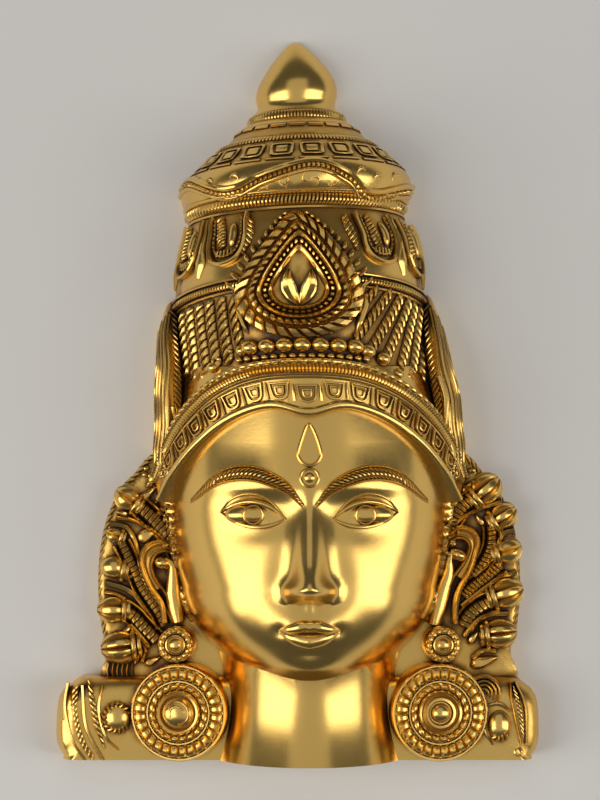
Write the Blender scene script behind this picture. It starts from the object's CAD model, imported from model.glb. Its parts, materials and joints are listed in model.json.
import json
import bpy
import numpy as np
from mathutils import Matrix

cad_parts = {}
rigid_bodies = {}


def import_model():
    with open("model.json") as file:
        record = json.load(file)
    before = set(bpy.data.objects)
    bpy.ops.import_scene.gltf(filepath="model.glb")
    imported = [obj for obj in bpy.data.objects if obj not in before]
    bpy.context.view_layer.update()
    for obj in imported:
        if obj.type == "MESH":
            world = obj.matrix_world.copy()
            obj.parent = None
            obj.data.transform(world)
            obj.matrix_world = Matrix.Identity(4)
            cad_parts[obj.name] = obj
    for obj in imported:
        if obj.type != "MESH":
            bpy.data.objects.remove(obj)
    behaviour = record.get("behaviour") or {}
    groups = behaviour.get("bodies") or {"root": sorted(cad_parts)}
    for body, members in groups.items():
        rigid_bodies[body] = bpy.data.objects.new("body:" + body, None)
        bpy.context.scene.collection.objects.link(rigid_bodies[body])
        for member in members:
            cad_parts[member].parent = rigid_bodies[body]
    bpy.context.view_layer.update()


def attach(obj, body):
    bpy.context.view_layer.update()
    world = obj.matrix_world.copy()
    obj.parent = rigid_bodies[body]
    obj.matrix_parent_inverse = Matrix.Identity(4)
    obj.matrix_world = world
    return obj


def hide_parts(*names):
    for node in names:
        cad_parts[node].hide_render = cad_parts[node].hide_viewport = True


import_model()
pi = np.pi
scene = bpy.context.scene

# The camera, straight above the mask, as in the photograph
view = {
    "place": (0.001, -0.00052, 1.3),
    "height": 0.3344,  # of the rim's plane that shows, in metres
}
lens = bpy.data.cameras.new("camera")
lens.sensor_fit = "VERTICAL"
lens.sensor_height = 32
lens.lens = 32 * view["place"][2] / view["height"]
lens.clip_start = 0.05
camera = bpy.data.objects.new("camera", lens)
camera.location = view["place"]
scene.collection.objects.link(camera)
scene.camera = camera
print("camera set")

# Numbers and curves. Lengths are millimetres, +Z out of the face and +Y towards the crown's tip
tip, foot, wall = 149.6, -147.8, 4.0
# How far the middle line stands aside at a height: the crown isn't quite straight
lean = np.array([
    (-15, 4.8), (0, 4.2), (30, 1.2), (45, 0.5), (68, 0.6), (74, -0.6), (84, -0.8), (92, -0.3), (112, -0.2),
    (124, -0.7), (136, 0), (tip, -1),
])
rng = np.random.default_rng(7)
# The crown's bands climb to the right, the more the higher they are
rollLook = {"slope": 0.04, "low": 10.0, "over": 50.0}


def roll(x, y):
    return rollLook["slope"] * x * np.clip((y - rollLook["low"]) / rollLook["over"], 0, 1)


def between(rows, key):
    rows = np.asarray(rows, float)
    return np.interp(key, rows[:, 0], rows[:, 1])


def mix(a, b, t):
    return a + (b - a) * t


def bump(dx, dy, rx, ry):
    return np.exp(-((dx / rx) ** 2) - (dy / ry) ** 2)


def ease(t):
    t = np.clip(t, 0, 1)
    return t * t * (3 - 2 * t)


def unit(v):
    return v / np.maximum(np.linalg.norm(v, axis=-1, keepdims=True), 1e-9)


def point(x, y, z):
    return np.stack(np.broadcast_arrays(*(np.asarray(v, float) for v in (x, y, z))), -1)


# Rows of points, read off at a place between them
def readAt(s, knots, rows):
    return np.stack([np.interp(s, knots, rows[:, k]) for k in range(rows.shape[1])], -1)


# A smooth curve through points, as n points evenly spaced along it
def through(points, n, closed=False):
    p = np.asarray(points, float)
    ends = (p[-1:], p[:2]) if closed else (2 * p[:1] - p[1:2], 2 * p[-1:] - p[-2:-1])
    p = np.vstack([ends[0], p, ends[1]])
    t = np.linspace(0, 1, 24, endpoint=False)[:, None]
    parts = []
    for a, b, c, d in zip(p, p[1:], p[2:], p[3:]):
        bend, twist = a - 2.5 * b + 2 * c - d / 2, 1.5 * (b - c) + (d - a) / 2
        parts.append(b + t * (c - a) / 2 + t**2 * bend + t**3 * twist)
    fine = np.vstack(parts + [p[-2:-1]])
    length = np.concatenate([[0], np.cumsum(np.linalg.norm(np.diff(fine, axis=0), axis=1))])
    return readAt(np.linspace(0, length[-1], n, endpoint=not closed), length, fine)


# Ways out of the casting at points, used to lay strips on it
def fromAxis(p):
    return unit(p * (1, 0, 1))


def towardsFront(p):
    return np.broadcast_to(np.array([0.0, 0, 1]), p.shape)


# Bodies: each is closed, and all are joined into one casting at the end
bodies = []


def quads(rows, cols, wrapRows, wrapCols):
    r, c = np.arange(rows if wrapRows else rows - 1)[:, None], np.arange(cols if wrapCols else cols - 1)
    below, after = (r + 1) % rows, (c + 1) % cols
    corners = (r * cols + c, r * cols + after, below * cols + after, below * cols + c)
    return np.stack(corners, -1).reshape(-1, 4)


def volume(points, faces):
    total = 0
    for f in faces:
        a = points[f[:, 0]]
        for k in range(1, f.shape[1] - 1):
            total += np.einsum("ij,ij->", a, np.cross(points[f[:, k]], points[f[:, k + 1]]))
    return total


def addBody(points, faces, straight=False, into=None):
    points = np.array(points, float).reshape(-1, 3)
    if not straight:
        points[:, 1] += roll(points[:, 0], points[:, 1])
        points[:, 0] += between(lean, points[:, 1])
    if volume(points, faces) < 0:
        faces = [f[:, ::-1] for f in faces]
    (bodies if into is None else into).append((points, faces))


# Rings of points joined into a tube; a closed tube runs back into itself, others end in tips
def addTube(rings, closed=False, **kw):
    rows, cols = rings.shape[:2]
    if closed:
        addBody(rings, [quads(rows, cols, True, True)], **kw)
        return
    points = np.vstack([rings.reshape(-1, 3), rings[0].mean(0), rings[-1].mean(0)])
    near = np.arange(cols)
    after, end = (near + 1) % cols, (rows - 1) * cols
    first = np.stack([np.full(cols, rows * cols), after, near], -1)
    last = np.stack([np.full(cols, rows * cols + 1), near + end, after + end], -1)
    addBody(points, [quads(rows, cols, False, True), first, last], **kw)


def addBall(middle, size, rows, cols, turn=0.0, **kw):
    up = np.linspace(0.06, 0.94, rows) * pi
    around = np.arange(cols) * 2 * pi / cols
    u, a = np.meshgrid(up, around, indexing="ij")
    x, y, z = np.sin(u) * np.cos(a) * size[0], np.sin(u) * np.sin(a) * size[1], np.cos(u) * size[2]
    c, s = np.cos(turn), np.sin(turn)
    addTube(point(middle[0] + c * x - s * y, middle[1] + s * x + c * y, middle[2] + z), **kw)


# Notches along a strip: where the samples of one stand, and how high each is
beads = np.array([(0, 0), (0.3, 1), (0.7, 1)])
scales = np.array([(0, 0), (0.16, 0.6), (0.72, 1), (0.93, 0.8)])
# Cross-sections of strips: (place across from -1 to 1, share of the height)
softTop = np.array([(-1, 0.2), (-0.55, 0.85), (0, 1), (0.55, 0.85), (1, 0.2)])
roundTop = np.array([(-1, 0.25), (-0.82, 0.72), (-0.4, 0.96), (0, 1), (0.4, 0.96), (0.82, 0.72), (1, 0.25)])


# The samples of a strip: place along it (0 to 1), place across it (-1 to 1), and height over its ground
def stripGrid(
    high, sunk, notches=0, deep=0.6, slant=0.0, teeth=beads, section=softTop, steps=40, closed=False
):
    if notches:
        at = ((np.arange(notches)[:, None] + teeth[:, 0]) / notches).ravel()
        lift = 1 - deep * (1 - np.tile(teeth[:, 1], notches))
        if not closed:
            at, lift = np.append(at, 1), np.append(lift, 1 - deep)
    else:
        at = np.linspace(0, 1, steps, endpoint=not closed)
        lift = np.ones(len(at))
    across = np.concatenate([[-1], section[:, 0], [1]])
    share = np.concatenate([[0], section[:, 1], [0]])
    base = np.concatenate([[1], np.zeros(len(section)), [1]])
    highs = np.interp(at, np.linspace(0, 1, np.size(high)), np.ravel(high))
    s = at[:, None] + slant / max(notches, 1) * across
    return s if closed else np.clip(s, 0, 1), across + 0 * s, (highs * lift)[:, None] * share - sunk * base


# A strip along a path, its foot sunk under what it lies on. Half width and height may vary along it
def addStrip(path, half, high, sunk=1.5, out=fromAxis, taper=0.0, straight=False, **look):
    path = np.asarray(path, float)
    closed = look.get("closed", False)
    along = np.roll(path, -1, 0) - np.roll(path, 1, 0) if closed else np.gradient(path, axis=0)
    tangent = unit(along)
    across = unit(np.cross(tangent, unit(out(path))))
    away = unit(np.cross(across, tangent))
    if closed:
        path, across, away = (np.vstack([rows, rows[:1]]) for rows in (path, across, away))
    s, u, over = stripGrid(high, sunk, **{"steps": len(path), **look})
    s = s % 1 if closed else s
    halves = np.interp(s, np.linspace(0, 1, np.size(half)), np.ravel(half))
    if taper:
        end = ease(np.minimum(s, 1 - s) / taper)
        halves *= mix(0.25, 1, end)
        over = np.where(over > 0, over * mix(0.1, 1, end), over)
    knots = np.linspace(0, 1, len(path))
    spot, side, up = (readAt(s, knots, rows) for rows in (path, across, away))
    addTube(spot + side * (halves * u)[..., None] + up * over[..., None], closed, straight=straight)


# The crown: one turned profile, leant back, with the carving wrapped round it
crownLook = {
    "columns": 62,
    "lift": 12.0,  # how far the drum's lower bands climb towards the front
    "leanBack": 0.1,  # and the others, as a share of their radius
    "over": 32.0,  # the height in which the one goes over into the other
    "depth": (1.1, 20.0, 55.0),  # share of the half width at the foot, and the heights where it becomes 1
    "spread": 0.75,  # how evenly notches are spaced as seen from the front
    "sunk": 1.2,  # how deep the bands' feet are in it
    "bandY": 38.0,
    "corniceBandY": 77.0,
}
bandY, corniceBandY = crownLook["bandY"], crownLook["corniceBandY"]
outline = np.array([
    (-22, 50.6), (0, 51.4), (bandY - 5, 51.4), (bandY - 2.4, 51.8), (bandY - 1.8, 52.4), (bandY + 2, 52.2),
    (bandY + 3.4, 51.8), (48, 51.3), (60, 49.4), (66, 47.9), (70, 46.7), (72.6, 45.3), (74, 44.7),
    (75.2, 45), (78.6, 45.2), (80.2, 46.2), (81.6, 47), (84, 47.8), (86.4, 48.1), (88.6, 47.9),
    (90.6, 47.2), (92.4, 46), (94, 44.4), (95.6, 42.6), (98, 39.6), (101, 37.2), (103.4, 33.8), (105, 31.6),
    (107.6, 28.8), (109.6, 26.8), (112.4, 24.4), (114.6, 21.6), (115.2, 20.4), (118.8, 18.6), (119.8, 17.6),
    (121, 16.6), (122.4, 16.1), (124, 16.4), (126.2, 16.9), (128.4, 16.8), (130.6, 16.4), (132.8, 15.6),
    (135.2, 14.4), (137.6, 12.9), (140, 11.2), (142.4, 9.2), (144.6, 7.2), (146.6, 5.2), (148.2, 3.4),
    (149.2, 1.8), (tip, 0.4),
])


def crownRise(y):
    level = np.clip((y - bandY) / crownLook["over"], 0, 1)
    return mix(crownLook["lift"], crownLook["leanBack"] * between(outline, y), level)


def crownDepth(y):
    share, low, over = crownLook["depth"]
    return mix(share, 1, np.clip((y - low) / over, 0, 1))


def crownPoint(turn, y, over=0.0):
    reach, c = between(outline, y) + over, np.cos(turn)
    return point(reach * np.sin(turn), y + crownRise(y) * c, reach * c * crownDepth(y))


# Turns from the front for the columns of a turned body, nearly all on the half that shows
def columnTurns(count):
    back, last = 5, 1.72
    shown = np.linspace(-last, last, count - back)
    return np.concatenate([shown, np.linspace(last, 2 * pi - last, back + 2)[1:-1]])


def crownBody():
    rows = outline[:, 0]
    fine = np.unique(np.concatenate([rows, np.linspace(-20, 36, 20), np.linspace(42, 70, 12)]))
    turn, y = np.meshgrid(columnTurns(crownLook["columns"]), fine)
    addTube(crownPoint(turn, y))


# A band round the crown at a height that may vary with the turn
def crownBand(y, half, high, turns=(-1.66, 1.66), **look):
    s, u, over = stripGrid(high, crownLook["sunk"], **look)
    turn = mix(turns[0], turns[1], s)
    if look.get("notches"):  # wider apart at the flanks
        turn = mix(turn, np.arcsin(mix(np.sin(turns[0]), np.sin(turns[1]), s)), crownLook["spread"])
    addTube(crownPoint(turn, (y(turn) if callable(y) else y) + half * u, over))


# The ring that stands at a height at the front
def ringOf(height):
    ring = np.array(height, float)
    for _ in range(8):
        ring = height - crownRise(ring)
    return ring


# A flat drawing laid on the crown, by its turn and ring, or on the front by x and height
def onCrown(turn, height):
    def place(x, y, over):
        ring = height + y
        return crownPoint(turn + x / between(outline, ring), ring, over)
    return place


def onFront(x, y, over):
    ring = ringOf(y)
    return crownPoint(x / between(outline, ring), ring, over)


# Nested copies of an outline about a middle, each level with its size and height, as on a coin
def addNested(shape, levels, place, middle=(0, 0), **kw):
    shape = np.asarray(shape, float)
    middle = np.array(middle, float)
    size = np.array([v[0] for v in levels])[:, None, None]
    high = np.array([v[1] for v in levels])[:, None] + 0 * shape[None, :, 0]
    flat = middle + size * (shape - middle)[None]
    addTube(place(flat[..., 0], flat[..., 1], high), **kw)


# A rounded rectangle, squarer with a higher power
def rounded(halfX, halfY, power, n):
    a = np.arange(n) * 2 * pi / n
    c, s = (np.sign(v) * abs(v) ** (2 / power) for v in (np.cos(a), np.sin(a)))
    return np.stack([halfX * c, halfY * s], -1)


# A strip drawn through points of a place
def drawn(place, points, half, high, n=20, over=0.0, **look):
    line = through(points, n, closed=look.get("closed", False))
    addStrip(place(line[:, 0], line[:, 1], np.full(n, over)), half, high, **look)


crownBody()
front = (-1.52, 1.52)
crownBand(117, 1.9, 1.2, turns=front, notches=34, deep=0.7)
crownBand(104.8, 1.4, 1.7, turns=front, notches=52, deep=0.7)
crownBand(corniceBandY - 0.1, 2.2, 1.8, turns=front, notches=66, deep=0.7, slant=0.3)
crownBand(corniceBandY + 3.1, 0.8, 1, steps=60)
crownBand(corniceBandY - 3, 0.7, 0.8, steps=60)

roofLook = {"dashes": 11, "panels": 10, "panel": (4.7, 2.9)}  # panel: half its width and height
for turn in np.linspace(-1.48, 1.48, roofLook["dashes"]):
    crownBand(111.2, 0.9, 1, turns=(turn - 0.12, turn + 0.12), steps=7)
for turn in np.linspace(-1.4, 1.4, roofLook["panels"]):
    crownBand(94, 0.6, 0.9, turns=(turn - 0.13, turn + 0.13), steps=7)
    levels = [(1, -1.2), (1, 0.9), (0.92, 1.2), (0.8, 1), (0.72, 0.1), (0.56, 0.1), (0.48, 1), (0.2, 1.1)]
    addNested(rounded(*roofLook["panel"], power=7, n=20), levels, onCrown(turn, 98.8))

# The wavy moulding of the cornice: a row of beads between two smooth ridges
waveAt = through(
    [
        (-1.68, 89), (-1.17, 89.8), (-0.63, 81.6), (-0.24, 86.8), (0.15, 91.2), (0.44, 86), (0.72, 78.6),
        (1.2, 83), (1.68, 86),
    ],
    200,
)


def wave(turn):
    return np.interp(turn, waveAt[:, 0], waveAt[:, 1])


crownBand(lambda turn: wave(turn) + 1.6, 1.4, 1.7, steps=90)
crownBand(lambda turn: wave(turn) - 0.7, 1.1, 1.7, turns=front, notches=56, deep=0.75)
crownBand(lambda turn: wave(turn) - 2.6, 1.0, 1.1, steps=90)


# A hook-shaped curl: a turn of a spiral that tapers to both ends
def curl(place, size, first, sweep, half, high, n=16):
    t = np.linspace(0, 1, n)
    a = first + sweep * t
    r = size * mix(1, 0.4, t)
    addStrip(place(r * np.cos(a), r * np.sin(a), np.zeros(n)), half, high, taper=0.5, sunk=0.8)


curls = {
    "lobes": [
        (-1.03, 88.6, 3), (-0.86, 87, 3.2), (-0.58, 86.6, 3.4), (0.6, 87.4, 3.2), (0.78, 85, 3.6),
        (1.04, 87, 4.4),
    ],
    "field": [(-0.34, 82.6, 1), (-0.12, 84.4, -1), (0.1, 85.2, 1), (0.3, 83.6, -1)],
}
for turn, y, size in curls["lobes"]:
    curl(onCrown(turn, y), size, 1.9 * np.sign(turn) + pi / 2, -2.6 * np.sign(turn), 0.8, 1)
for turn, y, way in curls["field"]:
    curl(onCrown(turn, y), 3, pi / 2, 4.6 * way, 0.35, 0.5, n=22)
    curl(onCrown(turn + 0.06, y - 1.4), 2, -pi / 2, 4.2 * way, 0.3, 0.45, n=18)

# Shields hanging round the upper drum: a rim, a beaded line, a column of scales and a polished bean, and
# teeth below them. Each is at a turn and a ring, and has a half width
shields = [(-1.16, 60.5, 9.4), (-0.63, 60.6, 8.9), (0.72, 59.4, 8.8), (1.24, 58.6, 9.4)]


def shield(turn, y, half):
    place = onCrown(turn, y)
    rim = np.array([
        (-1, 11.6), (-1, 2), (-0.94, -5), (-0.62, -10), (0, -11.8), (0.62, -10), (0.94, -5), (1, 2),
        (1, 11.6),
    ])
    drawn(place, rim * (half, 1), 1.1, 2.4, n=40)
    drawn(place, rim * (half * 0.76, 0.82) + (0, 1.6), 0.6, 1.5, n=36, notches=22)
    column = [(-0.42 * half, 11), (-0.34 * half, 2), (-0.16 * half, -4.4)]
    drawn(place, column, [1.5, 2.3, 2.4, 1.8], 2.2, notches=9, deep=0.75, slant=0.5, teeth=scales)
    bean = rounded(0.2 * half, 6, power=2.4, n=16)
    addNested(bean, [(1, -1.2), (1, 0.8), (0.8, 1.6), (0.4, 2)], onCrown(turn + 0.34 * half / 49, y + 2.4))
    for x in (-3.4, -1.7, 0, 1.7, 3.4):
        drawn(place, [(x, -5.4), (1.15 * x, -9 + 0.08 * x * x)], 0.6, 1.6, n=5)


for turn, y, half in shields:
    shield(turn, y, half)
folds = [(-1.42, 70, 46), (-0.9, 72, 45), (0.96, 71, 44), (1.47, 69, 44)]
for turn, top, low in folds:
    line = [(0, top), (0, mix(top, low, 0.6)), (1.5 * np.sign(turn), low)]
    drawn(onCrown(turn, 0), line, [0.9, 1.1, 1.5, 3, 1.4], [1.2, 1.6, 2, 2, 0.8], n=24)
for turn in (-0.4, 0.42):
    way = np.sign(turn)
    column = [(0, 70), (1.2 * way, 61), (3.4 * way, 52)]
    scaly = {"notches": 8, "deep": 0.7, "slant": 0.6 * way, "teeth": scales}
    drawn(onCrown(turn, 0), column, [1.4, 2.2, 2, 1.2], 1.8, **scaly)

# The drum's band, broken by the drop in the middle
for low, turns in ((37, (-1.54, -0.42)), (37.6, (0.38, 1.54))):
    crownBand(low, 1.5, 1.8, turns=turns, notches=30, deep=0.75, slant=0.2)
    crownBand(low + 2.8, 0.8, 1.4, turns=turns, steps=40)
    crownBand(low - 2.5, 0.6, 1, turns=turns, steps=40)

# Strands of scales below the band: (turn, ring) above and below, half width, and scales
strands = [
    ((-1.2, 33), (-1.2, 2), 2.6, 9), ((-1.05, 33), (-1.04, 2), 2.9, 9),
    ((-0.91, 33), (-0.88, 3), 2.9, 9), ((-0.785, 33), (-0.745, 4), 2.8, 8),
    ((-0.66, 33), (-0.62, 5), 2.7, 8), ((-0.55, 32), (-0.5, 9), 2.3, 6),
    ((0.8, 35.4), (0.42, 13), 2.2, 9), ((0.93, 34.6), (0.54, 9), 2.3, 10),
    ((1.05, 34.2), (0.68, 7), 2.3, 10), ((1.15, 34), (0.84, 5), 2.3, 10),
    ((1.27, 34), (0.99, 4), 2.3, 10), ((1.4, 34), (1.15, 3), 2.3, 10),
    ((0.66, 35.4), (0.37, 21), 2.1, 6), ((0.54, 35.6), (0.4, 27), 1.8, 4),
]
for top, low, half, count in strands:
    path = crownPoint(np.linspace(top[0], low[0], 20), np.linspace(top[1], low[1], 20))
    addStrip(path, half, 2.3, notches=count, deep=0.85, slant=-0.6 * np.sign(top[0]), teeth=scales)

# The drop-shaped ornament: a frilled edge, then nested rims round a pair of blades
dropLook = {"y": 45.0, "half": 22.9, "fall": 17.0, "taper": 0.6, "petals": 30, "outer": 38, "inner": 36}
dropTips = [(0, 0), (0.5, 17.9), (0.69, 23.3), (0.88, 27.3), (1.16, 32)]  # height of each ring's tip


def dropPoint(reach, a, over):
    up = np.cos(a)
    above = np.maximum(up, 0)
    narrow = 1 - dropLook["taper"] * above**1.2
    y = dropLook["y"] + between(dropTips, reach) * above + reach * dropLook["fall"] * np.minimum(up, 0)
    return onFront(-reach * dropLook["half"] * np.sin(a) * narrow, y, over)


def dropRing(reach, half, low, high, **look):
    fine = np.linspace(0, 2 * pi, 400)
    steps = np.linalg.norm(np.diff(dropPoint(reach, fine, 0.0), axis=0), axis=1)
    length = np.concatenate([[0], np.cumsum(steps)])
    s, u, over = stripGrid(high, 1.5 + low, closed=True, **look)
    a = np.interp(s % 1, length / length[-1], fine)
    addTube(dropPoint(reach + half * u, a, low + over), closed=True)


around = np.arange(64) * 2 * pi / 64
profile = np.array([
    (1.17, -2), (1.17, 0.5), (0.97, 0.9), (0.92, 1.6), (0.89, 3), (0.87, 2.5), (0.71, 2.7), (0.7, 4.8),
    (0.66, 5.9), (0.62, 5), (0.6, 3), (0.51, 3), (0.5, 5), (0.465, 6), (0.43, 5.2), (0.41, 2.6), (0.2, 2.4),
])
addTube(dropPoint(profile[:, :1], around[None, :], profile[:, 1:]))
plates = np.array([(0, 0), (0.22, 0.9), (0.78, 1)])
petalTop = np.array([(-1, 0.2), (-0.7, 0.72), (0, 1), (0.75, 0.8), (1, 0.3)])
petal = {"slant": 0.4, "deep": 0.75, "teeth": plates, "section": petalTop}
dropRing(1.045, 0.125, 0.6, 2.6, notches=dropLook["petals"], **petal)
dropRing(0.79, 0.08, 2.4, 2.6, notches=dropLook["outer"], slant=0.3, deep=0.65)
dropRing(0.555, 0.045, 2.8, 2.4, notches=dropLook["inner"], deep=0.75)
grooved = np.array([(-1, 0.9), (-0.75, 1), (0, 0.5), (0.75, 1), (1, 0.9)])
blades = (
    [(-0.4, -6.4), (-2.8, -2), (-4.2, 2.6), (-4, 7.4)],
    [(0.4, -6.4), (3, -1.8), (4.6, 2.8), (4.8, 7)],
)
for blade in blades:
    line = np.array(blade) + (0, dropLook["y"])
    half, high = [0.7, 2.4, 3.1, 2.3, 0.4], [1.4, 2.4, 2.6, 2.2, 1]
    drawn(onFront, line, half, high, n=14, over=2.0, section=grooved)
# Leaf strokes beside the drop
for a in np.linspace(0.4, 1.5, 11):
    for side in (-1, 1):
        path = dropPoint(np.linspace(1.18, 1.5, 7), side * (a - np.linspace(0, 0.12, 7)), 0.0)
        addStrip(path, [0.8, 1.2, 1, 0.4], [2, 2.3, 2.1, 1.2])
drawn(onFront, [(-26.4, 41), (-24.4, 36), (-21.6, 28)], 1.1, 2.4, n=14, taper=0.3)
drawn(onFront, [(27, 45.6), (27.4, 40), (24.6, 33), (23, 27.6)], 1.5, 2.4, n=14, taper=0.3)

# Pearls over the headband, with a smaller bead at one end and polished bosses at the other
pearlLook = {"count": 7, "y": 22.6, "turn": 0.137, "size": (3.8, 3.1, 3.4), "small": 15}
for turn in np.linspace(-0.52, 0.5, pearlLook["small"]):
    addBall(crownPoint(turn, ringOf(18.1), 0.6), (1.9, 1.5, 1.8), rows=5, cols=8)
for i in range(pearlLook["count"]):
    turn = pearlLook["turn"] * (i - 3)
    addBall(crownPoint(turn, ringOf(pearlLook["y"]), 1.1), pearlLook["size"], rows=8, cols=14)
bosses = [(-0.49, 21.8, 2.7), (-0.78, 17, 3), (0.52, 21.4, 3.4), (0.66, 19.4, 3.2), (0.8, 14.6, 2.6)]
for turn, y, size in bosses:
    addBall(crownPoint(turn, ringOf(y), 0.8), (size, size * 0.85, size), rows=8, cols=14)
print("crown")

# Knobs between the strands and the headband: turn, ring and size
knobs = [
    (-1.34, 1, 1.6), (-1.24, -2, 1.3), (-1.14, 1.5, 1.8), (-1.02, -1, 1.5), (-0.93, 2.6, 1.9),
    (-0.82, 5, 1.5), (-0.72, 8, 1.7), (-0.6, 10.4, 1.5), (1.36, -1, 1.6), (1.26, 1, 1.4),
    (1.14, -1, 1.7), (1.04, 2, 1.4), (0.94, 3, 1.8), (0.86, 7.6, 1.3), (0.74, 9.6, 1.6),
    (-1.4, 12, 1.5), (-1.4, 20, 1.3), (1.46, 24, 1.3),
]
for turn, y, size in knobs:
    addBall(crownPoint(turn, y, 0.4), (size, 0.8 * size, size), rows=6, cols=10, turn=turn)
print("knobs")

# The headband over the forehead, laid along its notched strip
bandKnots = np.array([
    (0, 12.6, 61.5), (20.9, 10.8, 57.5), (37.2, 4.3, 49), (49.8, -6.5, 37), (58.4, -19, 25),
    (63.5, -31.5, 14),
])
bandLook = {"peak": (4.2, 0.055), "tabs": 7.4, "edge": 12.7}  # peak: height and width; places across
bandPath = through(np.vstack([bandKnots[:0:-1] * (-1, 1, 1), bandKnots]), 160)
bandAlong = unit(np.gradient(bandPath, axis=0))
bandAcross = unit(np.cross(bandAlong, fromAxis(bandPath)))  # towards the face
bandOut = unit(np.cross(bandAcross, bandAlong))


# A point over the band: its share of the length, distance from the middle line towards the face, and height
def bandPoint(t, aside, over):
    t, aside, over = np.broadcast_arrays(*(np.asarray(v, float) for v in (t, aside, over)))
    at = np.linspace(0, 1, len(bandPath))
    spot, side, out = (readAt(t, at, rows) for rows in (bandPath, bandAcross, bandOut))
    return spot + side * aside[..., None] + out * over[..., None]


# How much further down the band reaches in the middle of the forehead
def peak(t):
    high, width = bandLook["peak"]
    return high * bump(t - 0.5, 0, width, 1)


def bandStrip(middle, half, high, sunk=3.0, **look):
    s, u, over = stripGrid(high, sunk, **{"steps": 80, **look})
    addTube(bandPoint(s, (middle(s) if callable(middle) else middle) + half * u, over))


def headband():
    rows = np.linspace(0, 1, 80)
    section = [(-3, -9), (-3, 0.2), (1, 0.3), (3.8, 0.2), (7.6, 0.2), (11, 0.2), (13.6, 0.2), (13.6, -9)]
    across, over = np.array(section, float).T
    addTube(bandPoint(rows[:, None], across + peak(rows)[:, None] * np.clip(across / 11, 0, 1), over))
    bandStrip(-3.7, 0.9, 1.2, notches=52, deep=0.9)
    bandStrip(-0.7, 2.0, 2.3, notches=138, deep=0.5, teeth=np.array([(0, 0), (0.5, 1)]))
    bandStrip(1.9, 0.5, 1.1)
    bandStrip(3.1, 0.5, 0.9)
    bandStrip(lambda t: bandLook["edge"] + peak(t), 1.7, 1.6, sunk=8, section=roundTop)


# The tabs hanging in the headband, each a frame with a smaller one inside, and slanted pillars between them
tabLook = {
    "count": 15,
    "from": 0.09,
    "to": 0.91,
    "half": 3.7,
    "rise": 3.6,
    "tilt": 0.12,  # of the outermost
    "length": 184.0,  # of the band
}
tabSide = np.array([(1, -1), (1, 0), (0.96, 0.5), (0.75, 0.86), (0.4, 1), (0, 1.04)])  # its end hangs down


def tab(t, tilt):
    shape = np.vstack([tabSide, tabSide[-2::-1] * (-1, 1)]) * (tabLook["half"], tabLook["rise"])
    middle = bandLook["tabs"] + 0.5 * peak(t)

    def place(x, y, over):
        narrow = 1 - 0.04 * y
        return bandPoint(t + (x * narrow + tilt * y) / tabLook["length"], middle + y, over)
    frames = [(1, -1.5), (1, 1.1), (0.93, 1.7), (0.83, 1.7), (0.75, 0.3)]
    inner = [(0.58, 0.3), (0.5, 1.5), (0.38, 1.6), (0.3, 0.5), (0.12, 0.5)]
    addNested(shape, frames + inner, place)


def pillar(t, tilt):
    y = np.linspace(-3.4, 3.4, 8)
    path = bandPoint(t + tilt * y / tabLook["length"], bandLook["tabs"] + 0.5 * peak(t) + y, 0)
    addStrip(path, [0.45, 0.7, 0.8], [1, 1.5, 1.2], steps=8)


headband()
step = (tabLook["to"] - tabLook["from"]) / (tabLook["count"] - 1)
for i in range(tabLook["count"]):
    t, tilt = tabLook["from"] + i * step, tabLook["tilt"] * (i - 7) / 7
    tab(t, tilt)
    if i:
        pillar(t - step / 2, 3 * tilt)
print("headband")

# The ends of the headband: hammered all over, with a few punched rings
endLook = {"knobs": 34, "ring": 1.7, "rings": [(0.035, 4), (0.06, 8.6), (0.965, 4), (0.94, 8.6)]}
spread = [rng.uniform(*ends, endLook["knobs"]) for ends in ((0.03, 0.08), (0.92, 0.97))]
for t in np.concatenate(spread):
    spot = bandPoint(t, rng.uniform(-1.5, 9), 0.2)
    addBall(spot, (*rng.uniform(0.5, 1.1, 2), 0.9), rows=4, cols=7)
for t, aside in endLook["rings"]:
    a = np.arange(9) * 2 * pi / 9
    x, y = endLook["ring"] * np.cos(a), endLook["ring"] * np.sin(a)
    around = bandPoint(t + x / tabLook["length"], aside + y, 0.3)
    addStrip(through(around, 20, closed=True), 0.5, 0.8, out=towardsFront, closed=True)

# The head, an egg standing on its chin, with the face of a calm goddess
faceLook = {
    "half": 59.0,
    "depth": 60.0,
    "hairY": 1.5,
    "templeY": -40.5,
    "cheekY": -76.5,
    "chinY": -121.0,
    "topY": 14.0,
    "loss": (4.0, 5.0),  # how much less the half width is at the hairline and at the cheeks
    "fullY": -51.5,  # where the head is deepest
    "square": 0.92,  # 1 is a round section, less is a squarer one
}
hairY, templeY, cheekY, chinY = (faceLook[k + "Y"] for k in ("hair", "temple", "cheek", "chin"))
square = faceLook["square"]
third = (hairY - (chinY + 2)) / 3  # hairline to brows, brows to nose, nose to chin
browY, noseY = hairY - third, hairY - 2 * third
mouthY, eyeY = noseY - third / 3, browY - third / 5.5
eyeX, eyeHalf = 22.5, 13.0


def headHalf(y):
    half, (high, low) = faceLook["half"], faceLook["loss"]
    t = np.clip((cheekY - y) / (cheekY - chinY), 0, 1)
    upper = half - high * ((y - templeY) / 39) ** 2
    middle = half - low * ((y - templeY) / (cheekY - templeY)) ** 2
    return np.where(y > templeY, upper, np.where(y > cheekY, middle, (half - low) * (1 - t**1.8) ** 0.7))


def headDepth(y):
    depth, full = faceLook["depth"], faceLook["fullY"]
    t = np.clip((cheekY - y) / (cheekY - chinY), 0, 1)
    upper = depth - 3 * ((y - full) / 50) ** 2
    return np.where(y > cheekY, upper, (depth - 0.75) * np.sqrt(1 - t**3.5))


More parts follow.
